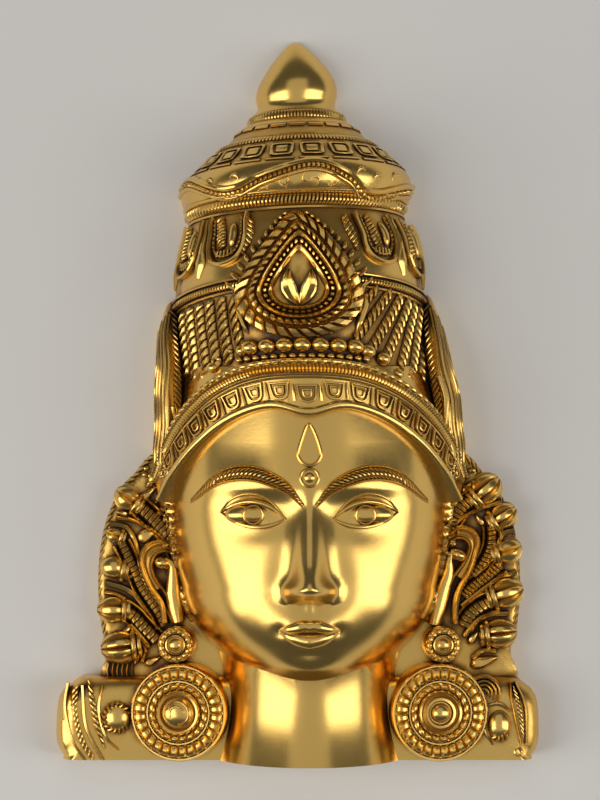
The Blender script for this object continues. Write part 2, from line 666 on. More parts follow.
noseLook = {"root": browY - 3, "tip": noseY + 4, "rise": 12.4}
swells = [  # height, place aside and height of the middle, and the reach both ways
    (4.6, 7.2, noseY + 3, 3.6, 3.4),  # the nose's wings
    (2.6, 0, noseY + 5.6, 5, 5),  # its tip
    (-1.6, 4.4, noseY - 0.4, 2.2, 1.6),  # the nostrils
    (-0.7, 0, noseY - 5, 1.7, 4),  # the groove under it
    (-4, eyeX - 4, eyeY + 1, 15, 8),  # the sockets
    (2.6, eyeX, eyeY, 11, 5.6),  # the eyeballs
    (2, 27, browY + 6, 20, 6),  # the brows
    (2.4, 27, noseY + 2, 15, 16),  # the cheeks
    (2.4, 0, mouthY, 16, 8),  # the mouth
    (-1.2, 11.6, mouthY, 2.6, 2.6),  # its corners
    (-1.2, 0, mouthY - 8.6, 8, 2.6),  # the dip under the lip
    (3.4, 0, chinY + 11, 12, 7.5),  # the chin
]


def features(x, y):
    root, tipY, rise = noseLook["root"], noseLook["tip"], noseLook["rise"]
    down = np.clip((root - y) / (root - tipY), 0, 1)
    under = np.clip((tipY - y) / (tipY - noseY + 2), 0, 1)
    ridge = rise * (0.14 + 0.86 * down**1.05) * ease((root + 14 - y) / 16) * np.sqrt(1 - under**2)
    total = ridge * np.exp(-((abs(x) / mix(4.8, 6.8, down)) ** 2.4))
    for high, side, middle, rx, ry in swells:
        total = total + high * bump(abs(x) - side, y - middle, rx, ry)
    return total


def faceZ(x, y):
    across = np.clip(abs(x) / headHalf(y), 0, 1)
    turn = np.arcsin(across ** (1 / square))
    return headDepth(y) * np.cos(turn) ** square + features(x, y)


def facePoint(x, y, over=0.0):
    return point(x, y, faceZ(x, y) + over)


def headBody():
    rows = np.concatenate([
        mix(chinY, -112, np.linspace(0, 1, 13, endpoint=False) ** 1.7 + 0.0005),
        np.linspace(-112, noseY - 3, 22, endpoint=False),
        np.linspace(noseY - 3, noseY + 6, 12, endpoint=False),
        np.linspace(noseY + 6, browY + 4, 29, endpoint=False),
        np.linspace(browY + 4, faceLook["topY"], 9),
    ])
    shown = columnTurns(86)
    turn = np.where(abs(shown) < 1.75, shown - 0.3 * np.sin(2 * shown), shown)
    turn, y = np.meshgrid(turn, rows)
    s, c = np.sin(turn), np.cos(turn)
    x = headHalf(y) * np.sign(s) * abs(s) ** square
    z = headDepth(y) * np.sign(c) * abs(c) ** square
    z = z + np.where(z > 0, features(x, y) * np.clip(z / 30, 0, 1), 0)
    addTube(point(x, y, z))


def neckBody(inset=0.0, **kw):
    up, turn = np.meshgrid(np.linspace(0, 1, 14), np.arange(40) * 2 * pi / 40, indexing="ij")
    waist = 1 - 0.12 * np.sin(pi * np.clip(up * 0.9, 0, 1))
    y = mix(foot - 3 + 2 * inset, -100, up)
    addTube(point((41 - inset) * waist * np.sin(turn), y, (50 - inset) * waist * np.cos(turn)), **kw)


# The way out of the face at points on it
def faceOut(p):
    near = 0.4
    x, y = p[:, 0], p[:, 1]
    slopeX = (faceZ(x + near, y) - faceZ(x - near, y)) / (2 * near)
    slopeY = (faceZ(x, y + near) - faceZ(x, y - near)) / (2 * near)
    return point(-slopeX, -slopeY, 1)


def faceStrip(points, half, high, n=30, sunk=1.2, **look):
    drawn(facePoint, points, half, high, n, out=faceOut, sunk=sunk, **look)


def ringAround(x, y, rx, ry, n=28):
    a = np.arange(n) * 2 * pi / n
    return np.stack([x + rx * np.cos(a), y + ry * np.sin(a)], -1)


eyeLook = {
    "ball": (11.4, 5, 5),
    "lids": ((5.6, 1.1, 1.0), (-4.4, 0.8, 0.8)),  # how far each bows, its half width and its height
    "fold": 8.6,
    "iris": (3.9, 3.7),
}


def eye(side):
    middle = (side * eyeX, eyeY + 0.4)
    addBall((*middle, float(faceZ(*middle)) - 3.4), eyeLook["ball"], rows=14, cols=30)
    t = np.linspace(-1, 1, 9)
    for lift, half, high in eyeLook["lids"]:
        line = np.stack([side * (eyeX + eyeHalf * t), eyeY + lift * (1 - t * t) + 1.2 * t], -1)
        path = through(line, 34)
        swell = 1.5 * np.maximum(1 - ((path[:, 0] - middle[0]) / 12) ** 2, 0)
        lid = facePoint(path[:, 0], path[:, 1], swell - 0.2)
        addStrip(lid, [0.4, half, half, half, 0.4], high, out=faceOut, sunk=3)
    fold = eyeY + eyeLook["fold"] * (1 - t * t) ** 0.8 + 1.8 * t
    faceStrip(np.stack([side * (eyeX + eyeHalf * t), fold], -1), [0.3, 0.6, 0.6, 0.3], 0.6)
    x, y = ringAround(*middle, *eyeLook["iris"]).T
    addStrip(point(x, y, float(faceZ(*middle)) + 1.1), 0.4, 0.6, out=towardsFront, sunk=2, closed=True)


def brow(side):
    arch = [(2.6, -3), (10, 4.6), (23, 9.6), (36, 7.6), (48, -2)]
    line = np.array([(side * x, browY + y) for x, y in arch])
    hatch = {"notches": 32, "deep": 0.7, "slant": 1.4 * side}
    faceStrip(line, [0.8, 2, 2.4, 2, 0.6], [0.7, 1.6, 1.8, 1.5, 0.6], n=40, **hatch)
    for shift in (-1, 1):
        edge = line + np.array([0, 1]) * shift * np.array([0.9, 2.3, 2.8, 2.3, 0.7])[:, None]
        faceStrip(edge, [0.25, 0.4, 0.5, 0.4, 0.25], [0.6, 1.2, 1.4, 1.2, 0.5], n=40)


def lips():
    corner = 12.2
    upper = [(-corner, 0.5), (-6, 1.6), (-2, 2.5), (0, 2.0), (2, 2.5), (6, 1.6), (corner, 0.5)]
    lower = [(-corner, 0), (-6, -2.3), (0, -3.4), (6, -2.3), (corner, 0)]
    shapes = [
        (upper, [0.5, 1.8, 2.5, 2.1, 2.5, 1.8, 0.5], [0.3, 2, 3, 2.7, 3, 2, 0.3]),
        (lower, [0.5, 2.5, 3.4, 2.5, 0.5], [0.3, 2.6, 4, 2.6, 0.3]),
    ]
    for line, half, high in shapes:
        faceStrip(np.array(line) + (0, mouthY), half, high, n=40, sunk=3, section=roundTop)


# The mark on the forehead: a drop's outline over a ringed dot
def mark():
    dotY, dropY = hairY - 0.8 * third, hairY - 0.48 * third
    a = np.arange(12) * 2 * pi / 12
    up = np.where(np.cos(a) > 0, 11.5, 5) * np.cos(a)
    drop = np.stack([4.6 * np.sin(a) * (1 - 0.5 * np.maximum(np.cos(a), 0)), dropY - 3 + up], -1)
    faceStrip(drop, 0.7, 1.0, n=48, closed=True)
    faceStrip(ringAround(0, dotY, 3.6, 3.6, 12), 0.6, 0.9, n=30, closed=True)
    addBall((0, dotY, float(faceZ(0, dotY))), (2.2, 2.2, 1.1), rows=6, cols=14)


headBody()
neckBody()
for side in (-1, 1):
    brow(side)
    eye(side)
lips()
mark()
print("head")

# Beside the drum: an upright swelling at each side, and the floor of the channel between the two. Each has
# a half width, half height, depth and place aside
swelling, channel = (7, 47, 27, 57), (9, 47, 20, 51)
sideLook = {"tilt": 0.08, "y": -4}


def sidePlace(side, middle, x, y, z):
    c, s = np.cos(sideLook["tilt"]), np.sin(sideLook["tilt"])
    return point(side * (middle + c * x - s * y), s * x + c * y + sideLook["y"], z)


def sideBody(piece, side, trim=0.0, **kw):
    half, rise, depth, middle = piece
    up, turn = np.meshgrid(np.linspace(0.02, 0.98, 30) * pi, np.arange(28) * 2 * pi / 28, indexing="ij")
    x, y = (half - trim) * np.sin(up) * np.cos(turn), (rise - trim) * np.cos(up)
    addTube(sidePlace(side, middle, x, y, (depth - trim) * np.sin(up) * np.sin(turn)), **kw)


# A strip up the swelling, at a share of its half width, between two heights
def sideStrip(side, share, low, top, half, high, waves=0.0, **look):
    wide, rise, depth, middle = swelling
    y = np.linspace(top, low, 36)
    x = (share + waves * np.sin(y / 4)) * wide * np.sqrt(1 - (y / rise) ** 2)
    z = depth * np.sqrt(np.maximum(1 - (x / wide) ** 2 - (y / rise) ** 2, 0))
    addStrip(sidePlace(side, middle, x, y, z), half, high, out=lambda p: p - (side * middle, 0, 0), **look)


hairs = [(0.05, 41, 0.6), (0.3, 42, 0.7), (0.52, 40, 0.6), (0.72, 38, 0.7), (0.88, 34, 0.6)]
for side in (-1, 1):
    sideBody(swelling, side)
    sideBody(channel, side)
    sideStrip(side, -0.42, -4, 42, 2, 1.8, notches=20, deep=0.8, slant=0.8 * side, teeth=scales)
    for share, top, half in hairs:
        sideStrip(side, share, -22, top, half, 0.8, waves=0.05, sunk=1)
sideStrip(1, -0.1, -22, 14, 1.5, 1.8, waves=0.12)
sideStrip(-1, -0.3, -22, 2, 1.5, 1.4, waves=0.12)
print("sides")

# Ear ornaments, drawn by hand for each side: places are (x, y), and the left has its x turned round
earLook = {"plate": 11.8, "base": 11.0, "budZ": 10.5, "middle": (66, -74)}
earOutline = [
    (36, -18.5), (60, -19), (66, -23), (71, -29), (77, -35), (82.2, -45), (85.4, -55), (87.4, -68),
    (87.4, -82), (86, -93), (83.6, -104), (83, -118), (30, -118),
]


def flat(side):
    return lambda x, y, over: point(side * x, y, over)


def earBody(side):
    shape = through(earOutline, 80, closed=True)
    levels = [(1, -5), (1, 7), (0.985, 9.4), (0.95, 11), (0.89, earLook["plate"]), (0.3, earLook["plate"])]
    addNested(shape, levels, flat(side), middle=earLook["middle"])


def earStrip(side, points, half, high, n=22, low=earLook["base"], **look):
    line = through([(*p, low) if len(p) == 2 else p for p in points], n)
    addStrip(line * (side, 1, 1), half, high, out=towardsFront, sunk=5, **look)


# A flat drawing laid on an ear at (x, y), turned, at a height
def onEar(side, x, y, turn, z):
    c, s = np.cos(turn), np.sin(turn)

    def place(u, v, over):
        return point(side * (x + c * u - s * v), y + s * u + c * v, z + over)
    return place


# A bud: its axis points away from the ear, its flutes run along it, and two collars ring its foot
budLook = {"stretch": 1.05, "deep": 0.34, "collars": ((-0.68, 0.8), (-0.95, 0.6))}


def bud(side, x, y, size, turn, flutes):
    place = onEar(side, x, y, turn, earLook["budZ"])
    long = size * budLook["stretch"]
    t = np.linspace(0.02, 0.98, 11)[:, None]
    columns = 4 * max(flutes, 6)
    a = (np.arange(columns) * 2 * pi / columns)[None, :]
    r = size * np.sin(pi * t) ** 0.5 * (1 - budLook["deep"] * (1 - abs(np.cos(flutes * a / 2))) ** 2)
    addTube(place((2 * t - 1) * long, r * np.cos(a), r * np.sin(a) * 0.95))
    a = np.linspace(0.05, 0.95, 12) * pi
    for back, reach in budLook["collars"]:
        arc = place(back * long, reach * size * np.cos(a), reach * size * np.sin(a))
        middle = place(back * long, 0, 0)
        addStrip(arc, 1.05, 1.1, out=lambda p: p - middle, sunk=1.5)


def leaf(side, x, y, long, wide, turn):
    high = 2.6
    a = np.arange(20) * 2 * pi / 20
    shape = np.stack([long * np.cos(a), wide * np.sin(a) * (1 - 0.45 * np.cos(a))], -1)
    levels = [(1, -3), (1, 0.5), (0.86, 0.75 * high), (0.6, high), (0.2, 0.86 * high)]
    addNested(shape, levels, onEar(side, x, y, turn, earLook["base"]))


leftEar = {
    # place, size, turn, flutes
    "buds": [
        (75, -40.4, 6, 0.6, 6), (80.4, -55.6, 4, 0.3, 6), (81, -69.3, 5.8, 0.2, 1),
        (81.2, -86.4, 6.6, 0, 8), (78.2, -102, 8, -0.12, 10),
    ],
    "stalks": [
        ([(70.4, -43.4), (65, -48.4), (60, -53.4), (56, -58.3), (53.6, -65)], 3.4, 13),
        (
            [(77.6, -58.6), (74.6, -65), (72, -70.8), (69.6, -76.6), (65.8, -82.4), (62, -88), (59.8, -93)],
            2.5, 18,
        ),
        ([(76.4, -86.2), (72, -89.6), (68, -94), (63, -99)], 3.2, 8),
    ],
    "ridges": [
        ([(79.4, -48.4), (72.4, -49.4), (66.4, -52.6), (61.2, -56.4), (56.6, -61.4), (53.6, -66)], 0.8),
        (
            [
                (82.6, -51), (76.4, -51.8), (73, -55.8), (71.2, -61), (69.6, -70), (66.8, -78), (62, -84.8),
                (59.8, -91.4),
            ],
            0.9,
        ),
        ([(84.4, -75.2), (76.4, -77.6), (71.4, -81.2), (67, -87.4)], 1.0),
        ([(84.6, -79), (79, -80.4), (73.8, -84)], 0.8),
        ([(74, -92.6), (70.4, -96.6), (66.4, -101.6)], 0.9),
        ([(72, -98), (70.2, -103), (72, -108.6)], 0.8),
        ([(69.4, -99.4), (67.8, -103.4), (69.2, -107.8)], 0.7),
    ],
    "leaves": [
        (66.8, -55.2, 5.2, 2.7, 2.6), (77.4, -46.4, 3, 1.3, 0.2), (76, -95.2, 3.4, 1.2, -0.7),
        (61, -103.8, 3, 1.4, 1.2), (64.8, -107.6, 4, 1.6, 2.7), (74, -72.8, 2.8, 1.1, 2.4),
        (57, -35, 6, 2.2, 1.9), (63, -30, 5.5, 2, 2.2), (66.6, -38.4, 4.6, 1.7, 2.4),
        (60.4, -44.4, 4.4, 1.6, 2.2), (52.6, -40, 4, 1.4, 1.8),
    ],
    "rim": [
        (53.2, -65.8), (55.6, -60.6), (61.2, -58.4), (67.2, -60.6), (69.2, -65.8), (68, -71.6), (64.8, -78),
        (61, -84), (59.8, -91.6),
    ],
    "slot": [
        (54.4, -64.4), (58.2, -62.2), (62.8, -63.2), (65, -67.4), (63.8, -73), (59.8, -79), (56.4, -86),
    ],
    "arm": [(62.4, -67.4), (59.6, -65.6), (56.6, -68), (56.2, -74), (56, -81), (54.2, -91.4)],
    "eye": (60.6, -67, 0.3),
}
rightEar = {
    "buds": [
        (73, -36.6, 7.2, 0.7, 8), (80.2, -47.6, 6.2, 0.55, 8), (82, -62, 6.2, 0.3, 6),
        (81.4, -79.4, 7.4, 0.3, 8), (78.8, -96.2, 7.2, 0.1, 10),
    ],
    "stalks": [
        ([(68.8, -40), (63, -44.2), (58.8, -50), (55.4, -56.6)], 3.4, 11),
        ([(75.4, -51.6), (75.6, -57), (74.6, -62), (71.4, -68), (67.4, -72)], 2.6, 12),
        ([(79.2, -67.6), (74.4, -71.8), (69.4, -75.6), (63.8, -80.6)], 2.9, 12),
        ([(77.2, -82.4), (72, -84.4), (67, -88), (63.6, -93)], 3.3, 8),
    ],
    "ridges": [
        ([(79.6, -41.8), (72, -44), (66.6, -46.6), (61.2, -50.2), (56.4, -57.6)], 0.9),
        ([(85, -53.4), (80.2, -55), (77.6, -60.8), (74.8, -66.4), (69, -71.8)], 0.9),
        ([(85.8, -70.8), (78.6, -73.2), (72.8, -77.2), (67, -81.6), (63, -84.8)], 0.9),
        ([(82.4, -88), (74.6, -88.4), (68.8, -91.6), (64.2, -97.4)], 1.0),
        ([(77.2, -103.4), (71.6, -103.4), (67.6, -106.6)], 0.9),
        ([(73, -92.4), (71, -96.4), (72.4, -100.8)], 0.8),
    ],
    "leaves": [
        (70.6, -49.4, 3.4, 1.4, 2.2), (79.4, -54, 2.6, 1.1, 1.2), (79.8, -71.6, 2.8, 1, 0.6),
        (68, -97.8, 3.8, 1.6, 0.9), (79, -88.2, 3, 1, 0.1), (72.4, -107.8, 6.4, 2.4, 0.3),
        (57, -35, 6, 2.2, 1.3), (62.6, -30, 5.5, 2, 1.1), (65.4, -36, 4, 1.6, 0.9),
        (60.6, -42, 4.4, 1.6, 1), (53, -44.6, 4, 1.4, 1.3),
    ],
    "rim": [
        (55, -59.6), (57.8, -55), (62.8, -52.4), (67.8, -54.2), (69.6, -58.4), (68.4, -64), (66.2, -70.6),
        (62, -78), (60.4, -84.8), (60.4, -92),
    ],
    "slot": [
        (56.4, -61.6), (59.4, -57.6), (63.6, -57), (66.2, -60), (64.4, -65.8), (60.4, -71.6), (58, -77.4),
    ],
    "arm": [(62.8, -63.6), (60, -61.6), (58, -65), (57.6, -71), (55, -79), (51.6, -92.4)],
    "eye": (61.6, -63.6, -0.4),
}


# An ear's scroll: an outer rim, a band and an inner rim, an eye, and a broad arm down to the rosette
def scroll(side, ear):
    rim, slot = through(ear["rim"], 30), through(ear["slot"], 30)
    earStrip(side, ear["rim"], [1.2, 1.6, 1.8, 1.8, 1.9, 1.8], 5.6, n=32)
    earStrip(side, (rim[:22] + slot[:22]) / 2, 2.2, 3.6, n=20)
    earStrip(side, ear["slot"], [0.9, 1.1, 1.1, 1, 0.8], 4.8, n=26)
    earStrip(side, ear["arm"], [0.8, 1.8, 2.6, 3.4, 3.8, 3.6, 2.6], 5.4, n=26, section=roundTop)
    x, y, turn = ear["eye"]
    addBall((side * x, y, earLook["base"] + 3), (3.7, 2.7, 3.6), rows=9, cols=18, turn=side * turn)


# The hair along the face, from the headband's end down to the rosette: a mottled strip and two fine lines
hairPath = [(59, -22), (57, -34), (56.2, -46), (55.4, -60), (53.4, -74), (50, -86), (46, -97)]
hairLook = {
    "sunk": 3,
    "lines": ((-2.4, 5, 0.7), (-4.4, 7.6, 0.5)),  # how far aside and out each is, and its half width
    "knobs": 46,
}


def hair(side):
    x, y = through(hairPath, 40).T
    path = point(side * x, y, faceZ(x, y) - hairLook["sunk"])
    mottled = {"notches": 24, "deep": 0.3, "slant": 0.4 * side}
    addStrip(path, [5, 3.4, 2.2, 1.9, 1.8], 2.4, out=towardsFront, sunk=16, **mottled)
    for aside, over, half in hairLook["lines"]:
        addStrip(path[6:] + (side * aside, 0, over), half, 1.6, out=towardsFront, sunk=12)
    for i in rng.integers(0, 22, hairLook["knobs"]):
        spot = path[i] + (*rng.uniform(-4, 4, 2), 1.8)
        addBall(spot, (*rng.uniform(0.6, 1.3, 2), 1.3), rows=4, cols=7)


# Small knobs scattered in a box on an ear, as the hammered ground between the carving shows
def ground(side, low, high, count):
    for x, y, r in rng.uniform((*low, 0.7), (*high, 1.5), (count, 3)):
        addBall((side * x, y, earLook["plate"]), (r, r, 1.3), rows=4, cols=7)


for side, ear in ((-1, leftEar), (1, rightEar)):
    earBody(side)
    for x, y, size, turn, flutes in ear["buds"]:
        bud(side, x, y, size, turn, flutes)
    for points, half, notches in ear["stalks"]:
        earStrip(side, points, half, 4.4, notches=notches, deep=0.45, slant=0.15, teeth=scales)
        line = through(points, 12)
        across = unit(np.gradient(line, axis=0))[:, ::-1] * (1, -1)
        for aside in (-half - 0.9, half + 0.9):
            earStrip(side, line + across * aside, 0.85, 4, n=18)
    for points, half in ear["ridges"]:
        earStrip(side, points, 1.5 * half, 3.2)
    for spot in ear["leaves"]:
        leaf(side, *spot)
    scroll(side, ear)
    hair(side)
    edge = np.array(earOutline[1:11]) - earLook["middle"]
    edge = earLook["middle"] + edge * (1 - 2 / np.linalg.norm(edge, axis=1))[:, None]
    earStrip(side, edge, 1.9, 2.6, n=50, low=9, notches=30, deep=0.6, slant=0.9, teeth=scales)
    ground(side, (52, -48), (64, -27), 24)
    ground(side, (60, -36), (68, -27), 16)
for x in np.linspace(73, 83, 6):
    earStrip(-1, [(x, -108.6), (x + 0.6, -112), (x - 0.4, -116)], 0.6, 2.6, n=6)
print("ears")

# Round earrings and the small rosettes over them
ringLook = {"x": 53.0, "y": -127.8, "z": 21.0, "tilt": 0.14}
studLook = {"x": 54.6, "y": -100.2, "z": 20.0, "tilt": 0.1}


def disc(look, side):
    c, s = np.cos(look["tilt"]), np.sin(look["tilt"])

    def place(r, a, h):
        x, y = r * np.cos(a), r * np.sin(a)
        return point(side * (look["x"] + c * x + s * h), look["y"] + y, look["z"] - s * x + c * h)
    return place


def turned(place, profile, columns):
    rows = np.asarray(profile, float)
    a = np.arange(columns) * 2 * pi / columns
    addTube(place(rows[:, :1], a[None, :], rows[:, 1:]))


def beadRing(place, r, half, low, high, **look):
    s, u, over = stripGrid(high, 1.5, closed=True, section=roundTop, **look)
    addTube(place(r + half * u, s * 2 * pi, low + over), closed=True)


# Their turned outlines, as radius and height: the rim, and the middle of each side
rim = [
    (20, -14), (20, 4.6), (19.4, 5.6), (18.9, 5.6), (18.5, 5), (13.4, 4.8), (13.1, 5.6), (12.6, 5.6),
    (12.3, 4.8), (9.5, 4.8),
]
hearts = {
    -1: [
        (9.1, 6.2), (8.4, 7.1), (7.6, 6.9), (7.1, 5.8), (6.7, 6), (6, 7.4), (4.6, 8.6), (2.8, 9.3),
        (1, 9.6),
    ],
    1: [
        (9.2, 6), (8.7, 6.8), (8, 6.4), (7.6, 5.2), (6.7, 5.6), (6.2, 6.6), (5.2, 6.7), (4.6, 5.4),
        (4, 5.4), (3.6, 6.9), (2.6, 7.9), (1, 8.4),
    ],
}
stud = [
    (7.4, -12), (7.4, 3.2), (7.1, 3.8), (4.5, 3.4), (4.1, 4.4), (3.6, 4.6), (3.1, 3.6), (2.8, 3.6),
    (2.3, 4.4), (1.5, 4.9), (0.4, 5),
]
for side in (-1, 1):
    place = disc(ringLook, side)
    turned(place, rim + hearts[side], 56)
    beadRing(place, 16, 2.6, 4.2, 2.5, notches=28, deep=0.6)
    beadRing(place, 10.9, 1.5, 4.2, 1.9, notches=20, deep=0.6, slant=0.25)
    place = disc(studLook, side)
    turned(place, stud, 36)
    beadRing(place, 5.8, 1.3, 3.2, 1.6, notches=15, deep=0.5)
# Two crescents on the left one's dome: radius, first and last angle, height
for r, first, last, high in ((4.9, 0.3, 4.6, 8.6), (2.9, -0.6, 3, 9.3)):
    crescent = disc(ringLook, -1)(r, np.linspace(first, last, 14), high)
    addStrip(crescent, [0.2, 0.5, 0.5, 0.2], 0.6, out=towardsFront)
print("earrings")

# Shoulders: a rounded block across the foot, with carving of its own on each arm
shoulderLook = {
    "middle": (0, -134),
    "reach": (99.5, 22.0),
    "edge": [(0, -5), (0, 13), (0.7, 15.6), (2, 17.8), (4, 19.3), (7, 20), (12, 20)],  # how far in, height
    "top": 19.2,
}
shoulderOutline = [
    (0, -160), (92, -160), (96.6, -147), (99.5, -141), (99.5, -128.5), (97.8, -120.5), (92.5, -116.8),
    (82, -114), (0, -114),
]


def mirrored(half):
    return np.vstack([half[:-1], half[:0:-1] * (-1, 1)])


def shoulderBody():
    shape = through(mirrored(np.array(shoulderOutline, float)), 150, closed=True)
    middle, reach = (np.array(shoulderLook[key], float) for key in ("middle", "reach"))
    rows = []
    for inset, high in shoulderLook["edge"]:
        x, y = (middle + (shape - middle) * (1 - inset / reach)).T
        rows.append(point(x, y, high))
    addTube(np.stack(rows), straight=True)


def armStrip(points, half, high, n=24, **look):
    line = through([(*p, shoulderLook["top"]) for p in points], n)
    addStrip(line, half, high, out=towardsFront, sunk=5, straight=True, **look)


# A boss with punch marks round it
def boss(x, y, rx, ry, high, marks, turns):
    low = 19
    addBall((x, y, low), (rx, ry, high), rows=12, cols=26, straight=True)
    share, aside = np.array([(0.93, -0.1), (0.82, 0), (0.66, 0.16)]).T
    for a in np.linspace(*turns, marks):
        c, s = np.cos(a + aside), np.sin(a + aside)
        line = through(point(x + rx * share * c, y + ry * share * s, low + high * np.sqrt(1 - share**2)), 7)
        addStrip(line, [0.3, 0.9, 0.5], 1.2, out=lambda p: p - (x, y, 10), sunk=1, straight=True)


shoulderBody()
# The left arm: an armlet between two lines, a leaf band inside it, and a boss ringed with punch marks
armStrip([(-94.6, -116), (-95.8, -126.4), (-92.6, -139.7), (-87.4, -148)], 0.7, 1.5)
armStrip([(-88.6, -117), (-87.6, -131.9), (-84.6, -139.7), (-80, -148)], 0.8, 1.7)
armlet = [(-91.6, -117.5), (-91.6, -129), (-88.6, -140), (-83.8, -147.6)]
armStrip(armlet, 1.7, 1.5, notches=14, deep=0.75, slant=0.9)
leafBand = [(-86, -114.6), (-84.4, -124), (-82.4, -134), (-79.4, -143)]
armStrip(leafBand, [0.6, 1.9, 2, 0.5], 1.6, notches=11, deep=0.6, slant=-0.8)
armStrip([(-80.4, -117), (-81.8, -127), (-79, -138), (-73.6, -143.6)], [0.4, 0.9, 0.9, 0.4], 1.5)
boss(-74.4, -130.4, 6.2, 6.8, 4, 15, (0.4, 5.6))
# The right arm: a curl of fine lines, an oval boss under it, a long leaf at the edge and a small ring
for r in (1.6, 3.2, 4.8, 6.4):
    turn = np.linspace(-0.7, 3.3, 7)
    line = np.stack([76.8 + r * np.cos(turn), -120 + r * np.sin(turn)], -1)
    armStrip(line, [0.5, 0.7, 0.7, 0.5], 1.6, n=20)
boss(83, -133.6, 5, 6.8, 3.6, 4, (4.1, 5.4))
armStrip([(77, -126.4), (79.6, -125), (83.6, -124.8), (87.4, -127.6)], [0.4, 1.1, 1.1, 0.4], 1.6)
armStrip([(76.6, -130), (77, -136), (80.4, -141.6)], [0.3, 0.8, 0.4], 1.3)
armStrip([(88.8, -117), (91.2, -126), (93, -139)], [0.5, 1.8, 0.5], 1.4, notches=12, deep=0.7, slant=-1)
for shift in (-1, 1):
    armStrip([(88.6 + shift, -115.6), (91.2 + 2.6 * shift, -126), (93 + shift, -141)], [0.4, 0.7, 0.4], 1.8)
armStrip(ringAround(90.8, -144.6, 1.5, 1.5, 9), 0.5, 1, n=18)
print("shoulders")

# Joins the bodies into the casting
def meshOf(name, points, faces):
    mesh = bpy.data.meshes.new(name)
    listed = [row for f in faces for row in f.tolist()]
    mesh.from_pydata((points * 0.001 - (0, (tip + foot) / 2000, 0)).tolist(), [], listed)
    mesh.update()
    return mesh


def groupOf(name, made):
    group = bpy.data.collections.new(name)
    scene.collection.children.link(group)
    for i, (points, faces) in enumerate(made):
        group.objects.link(bpy.data.objects.new(f"{name}{i}", meshOf(f"{name}{i}", points, faces)))
    return group


def united(name, made):
    parts = groupOf("part", made[1:])
    base = bpy.data.objects.new(name, meshOf(name, *made[0]))
    scene.collection.objects.link(base)
    combined(base, parts, "UNION")
    return base


# Changes a mesh by the bodies of a collection, which are then dropped
def combined(base, parts, operation):
    change = base.modifiers.new("change", "BOOLEAN")
    change.operation = operation
    change.operand_type = "COLLECTION"
    change.collection = parts
    change.solver = "MANIFOLD"
    mesh = bpy.data.meshes.new_from_object(base.evaluated_get(bpy.context.evaluated_depsgraph_get()))
    base.modifiers.clear()
    base.data = mesh
    for thing in list(parts.objects):
        bpy.data.objects.remove(thing)
    bpy.data.collections.remove(parts)


# A box over the whole mask that ends at a height along y or z
def slab(y, z, into):
    corners = np.array([(a, b, c) for a in (-far, far) for b in (-far, y) for c in (-far, z)], float)
    sides = np.array([(0, 1, 3, 2), (4, 6, 7, 5), (0, 4, 5, 1), (2, 3, 7, 6), (0, 2, 6, 4), (1, 5, 7, 3)])
    addBody(corners, [sides], straight=True, into=into)


# The rooms inside, plainer than the outside and a wall's thickness within it
def insides():
    rooms = []
    turn, y = np.meshgrid(columnTurns(36), [-22, 42, 60, 74, 81.6, 92, 105, 111])
    addTube(crownPoint(turn, y, -wall), into=rooms)
    low, high = chinY + wall, faceLook["topY"] - wall
    turn, y = np.meshgrid(columnTurns(36), mix(low, high, np.linspace(0, 1, 14) ** 1.5))
    half, depth = np.maximum(headHalf(y) - wall, 0.5), np.maximum(headDepth(y) - wall, 0.5)
    addTube(point(half * np.sin(turn), y, depth * np.cos(turn)), into=rooms)
    neckBody(wall, into=rooms)
    middle, (across, upright) = shoulderLook["middle"], 1 - wall / np.array([39.5, 18])
    half = np.array([(x and mix(60, x, across), mix(middle[1], y, upright)) for x, y in shoulderOutline])
    addNested(mirrored(half), [(1, -5), (1, 16)], point, middle=middle, straight=True, into=rooms)
    for side in (-1, 1):
        sideBody(swelling, side, wall, into=rooms)
        sideBody((channel[0] + wall, *channel[1:]), side, wall, into=rooms)
        share = 1 - wall / 26
        addNested(earOutline, [(share, -5), (share, 9)], flat(side), middle=earLook["middle"], into=rooms)
    return rooms


def slabs(*ends):
    made = []
    for y, z in ends:
        slab(y, z, made)
    return groupOf("box", made)


far = 300
hollow = united("hollow", insides())
combined(hollow, slabs((foot + wall, far)), "DIFFERENCE")
mask = united("mask_visual", bodies)
scene.collection.objects.unlink(hollow)
inner = bpy.data.collections.new("inner")
inner.objects.link(hollow)
combined(mask, inner, "DIFFERENCE")
combined(mask, slabs((far, 0), (foot, far)), "DIFFERENCE")
mask.data.polygons.foreach_set("use_smooth", np.ones(len(mask.data.polygons), bool))
mask.data.set_sharp_from_angle(angle=np.radians(40))

# The ground that carving stands on, from 1 where it is bare to 0 on what rises out of it, for the patina
# A region has its share, and its edges as (axis, where the edge starts, how far until the share is whole)
groundLook = {
    "rises": 1.1,  # millimetres up to where the polish reaches all over
    "crown": [
        (-22, 1), (40, 1), (43, 0.1), (48, 0.1), (52, 0.8), (73, 0.9), (75, 0), (92, 0), (94, 0.9),
        (112, 0.9), (115, 0),
    ],
    "headY": 2.0,  # over this the mask is crown
    "gem": ((8.5, 11), 47.0, 3.4),  # the field inside the drop: its half sizes, height and depth
    "gully": (1.0, [(0, 42, 2), (0, 57, -2), (2, 21.5, -3), (1, -24, 4), (1, 60, -4)]),
    "arm": (0.8, [(0, 66, 4), (0, 97, -2), (2, 20.6, -1), (1, -112, -3)]),
    "ear": (0.75, [(0, 50, 3), (2, 12.9, -1.1), (1, -22, -4), (1, -116, 4)]),
}


def region(spot, share, edges):
    for axis, start, over in edges:
        share = share * ease((spot[axis] - start) / over)
    return share


